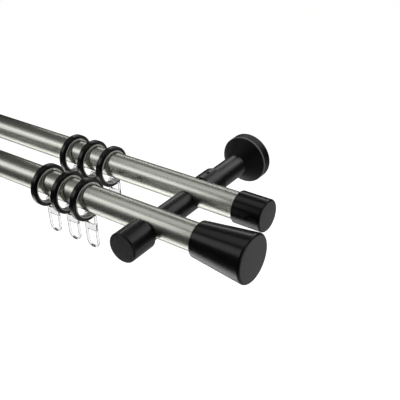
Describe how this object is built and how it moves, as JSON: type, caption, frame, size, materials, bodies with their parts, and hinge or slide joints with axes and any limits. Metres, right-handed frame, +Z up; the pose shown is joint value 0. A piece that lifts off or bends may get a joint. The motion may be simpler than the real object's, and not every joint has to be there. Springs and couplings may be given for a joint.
{
  "type": "double curtain pole",
  "caption": "Double curtain pole: stainless tubes one behind the other on black wall brackets, with a cone finial, a plain end cap and rings with clear hangers.",
  "frame": {"origin": "on the wall, halfway between the two brackets, at the height of the bracket arms' centre line", "axes": "+X along the poles, to the right seen from the room; +Y into the wall; +Z up"},
  "size_m": [1.0816, 0.1547, 0.061],
  "materials": {
    "pole_steel": "brushed stainless steel",
    "finial_black": "satin black coat",
    "bracket_black": "satin black powder coat",
    "plate_zinc": "zinc plated",
    "screw_black": "black oxide",
    "ring_black": "satin black powder coat",
    "liner_plastic": "smooth grey plastic",
    "clear_plastic": "clear plastic"
  },
  "bodies": {
    "poles_and_brackets": {"front_pole": "pole_steel", "rear_pole": "pole_steel", "right_cone_finial": "finial_black", "right_end_cap": "finial_black", "right_arm": "bracket_black", "right_arm_cap": "bracket_black", "right_wall_tube": "bracket_black", "right_wall_cover": "bracket_black", "right_base_plate": "plate_zinc", "right_grub_screw": "screw_black", "left_cone_finial": "finial_black", "left_end_cap": "finial_black", "left_arm": "bracket_black", "left_arm_cap": "bracket_black", "left_wall_tube": "bracket_black", "left_wall_cover": "bracket_black", "left_base_plate": "plate_zinc", "left_grub_screw": "screw_black"},
    "front_runner_1": {"front_ring_1": "ring_black", "front_liner_1": "liner_plastic"},
    "front_hook_1": {"front_hanger_1": "clear_plastic"},
    "front_runner_2": {"front_ring_2": "ring_black", "front_liner_2": "liner_plastic"},
    "front_hook_2": {"front_hanger_2": "clear_plastic"},
    "front_runner_3": {"front_ring_3": "ring_black", "front_liner_3": "liner_plastic"},
    "front_hook_3": {"front_hanger_3": "clear_plastic"},
    "rear_runner_1": {"rear_ring_1": "ring_black", "rear_liner_1": "liner_plastic"},
    "rear_hook_1": {"rear_hanger_1": "clear_plastic"},
    "rear_runner_2": {"rear_ring_2": "ring_black", "rear_liner_2": "liner_plastic"},
    "rear_hook_2": {"rear_hanger_2": "clear_plastic"},
    "rear_runner_3": {"rear_ring_3": "ring_black", "rear_liner_3": "liner_plastic"},
    "rear_hook_3": {"rear_hanger_3": "clear_plastic"}
  },
  "joints": [
    {"name": "front_ring_slide_1", "type": "slide", "parent": "poles_and_brackets", "child": "front_runner_1", "axis": [1, 0, 0], "range_m": [-0.268, 0.0428]},
    {"name": "front_hanger_swing_1", "type": "hinge", "parent": "front_runner_1", "child": "front_hook_1", "pos_m": [0.4, -0.1229, 0.00125], "axis": [1, 0, 0], "range_deg": [-25, 25]},
    {"name": "front_ring_slide_2", "type": "slide", "parent": "front_runner_1", "child": "front_runner_2", "axis": [1, 0, 0], "range_m": [-0.268, 0.0065]},
    {"name": "front_hanger_swing_2", "type": "hinge", "parent": "front_runner_2", "child": "front_hook_2", "pos_m": [0.381, -0.1229, 0.00125], "axis": [1, 0, 0], "range_deg": [-25, 25]},
    {"name": "front_ring_slide_3", "type": "slide", "parent": "front_runner_2", "child": "front_runner_3", "axis": [1, 0, 0], "range_m": [-0.268, 0.0082]},
    {"name": "front_hanger_swing_3", "type": "hinge", "parent": "front_runner_3", "child": "front_hook_3", "pos_m": [0.3603, -0.1229, 0.00125], "axis": [1, 0, 0], "range_deg": [-25, 25]},
    {"name": "rear_ring_slide_1", "type": "slide", "parent": "poles_and_brackets", "child": "rear_runner_1", "axis": [1, 0, 0], "range_m": [-0.262, 0.0618]},
    {"name": "rear_hanger_swing_1", "type": "hinge", "parent": "rear_runner_1", "child": "rear_hook_1", "pos_m": [0.381, -0.0754, 0.00125], "axis": [1, 0, 0], "range_deg": [-25, 25]},
    {"name": "rear_ring_slide_2", "type": "slide", "parent": "rear_runner_1", "child": "rear_runner_2", "axis": [1, 0, 0], "range_m": [-0.262, 0.0075]},
    {"name": "rear_hanger_swing_2", "type": "hinge", "parent": "rear_runner_2", "child": "rear_hook_2", "pos_m": [0.361, -0.0754, 0.00125], "axis": [1, 0, 0], "range_deg": [-25, 25]},
    {"name": "rear_ring_slide_3", "type": "slide", "parent": "rear_runner_2", "child": "rear_runner_3", "axis": [1, 0, 0], "range_m": [-0.262, 0.007]},
    {"name": "rear_hanger_swing_3", "type": "hinge", "parent": "rear_runner_3", "child": "rear_hook_3", "pos_m": [0.3415, -0.0754, 0.00125], "axis": [1, 0, 0], "range_deg": [-25, 25]}
  ]
}
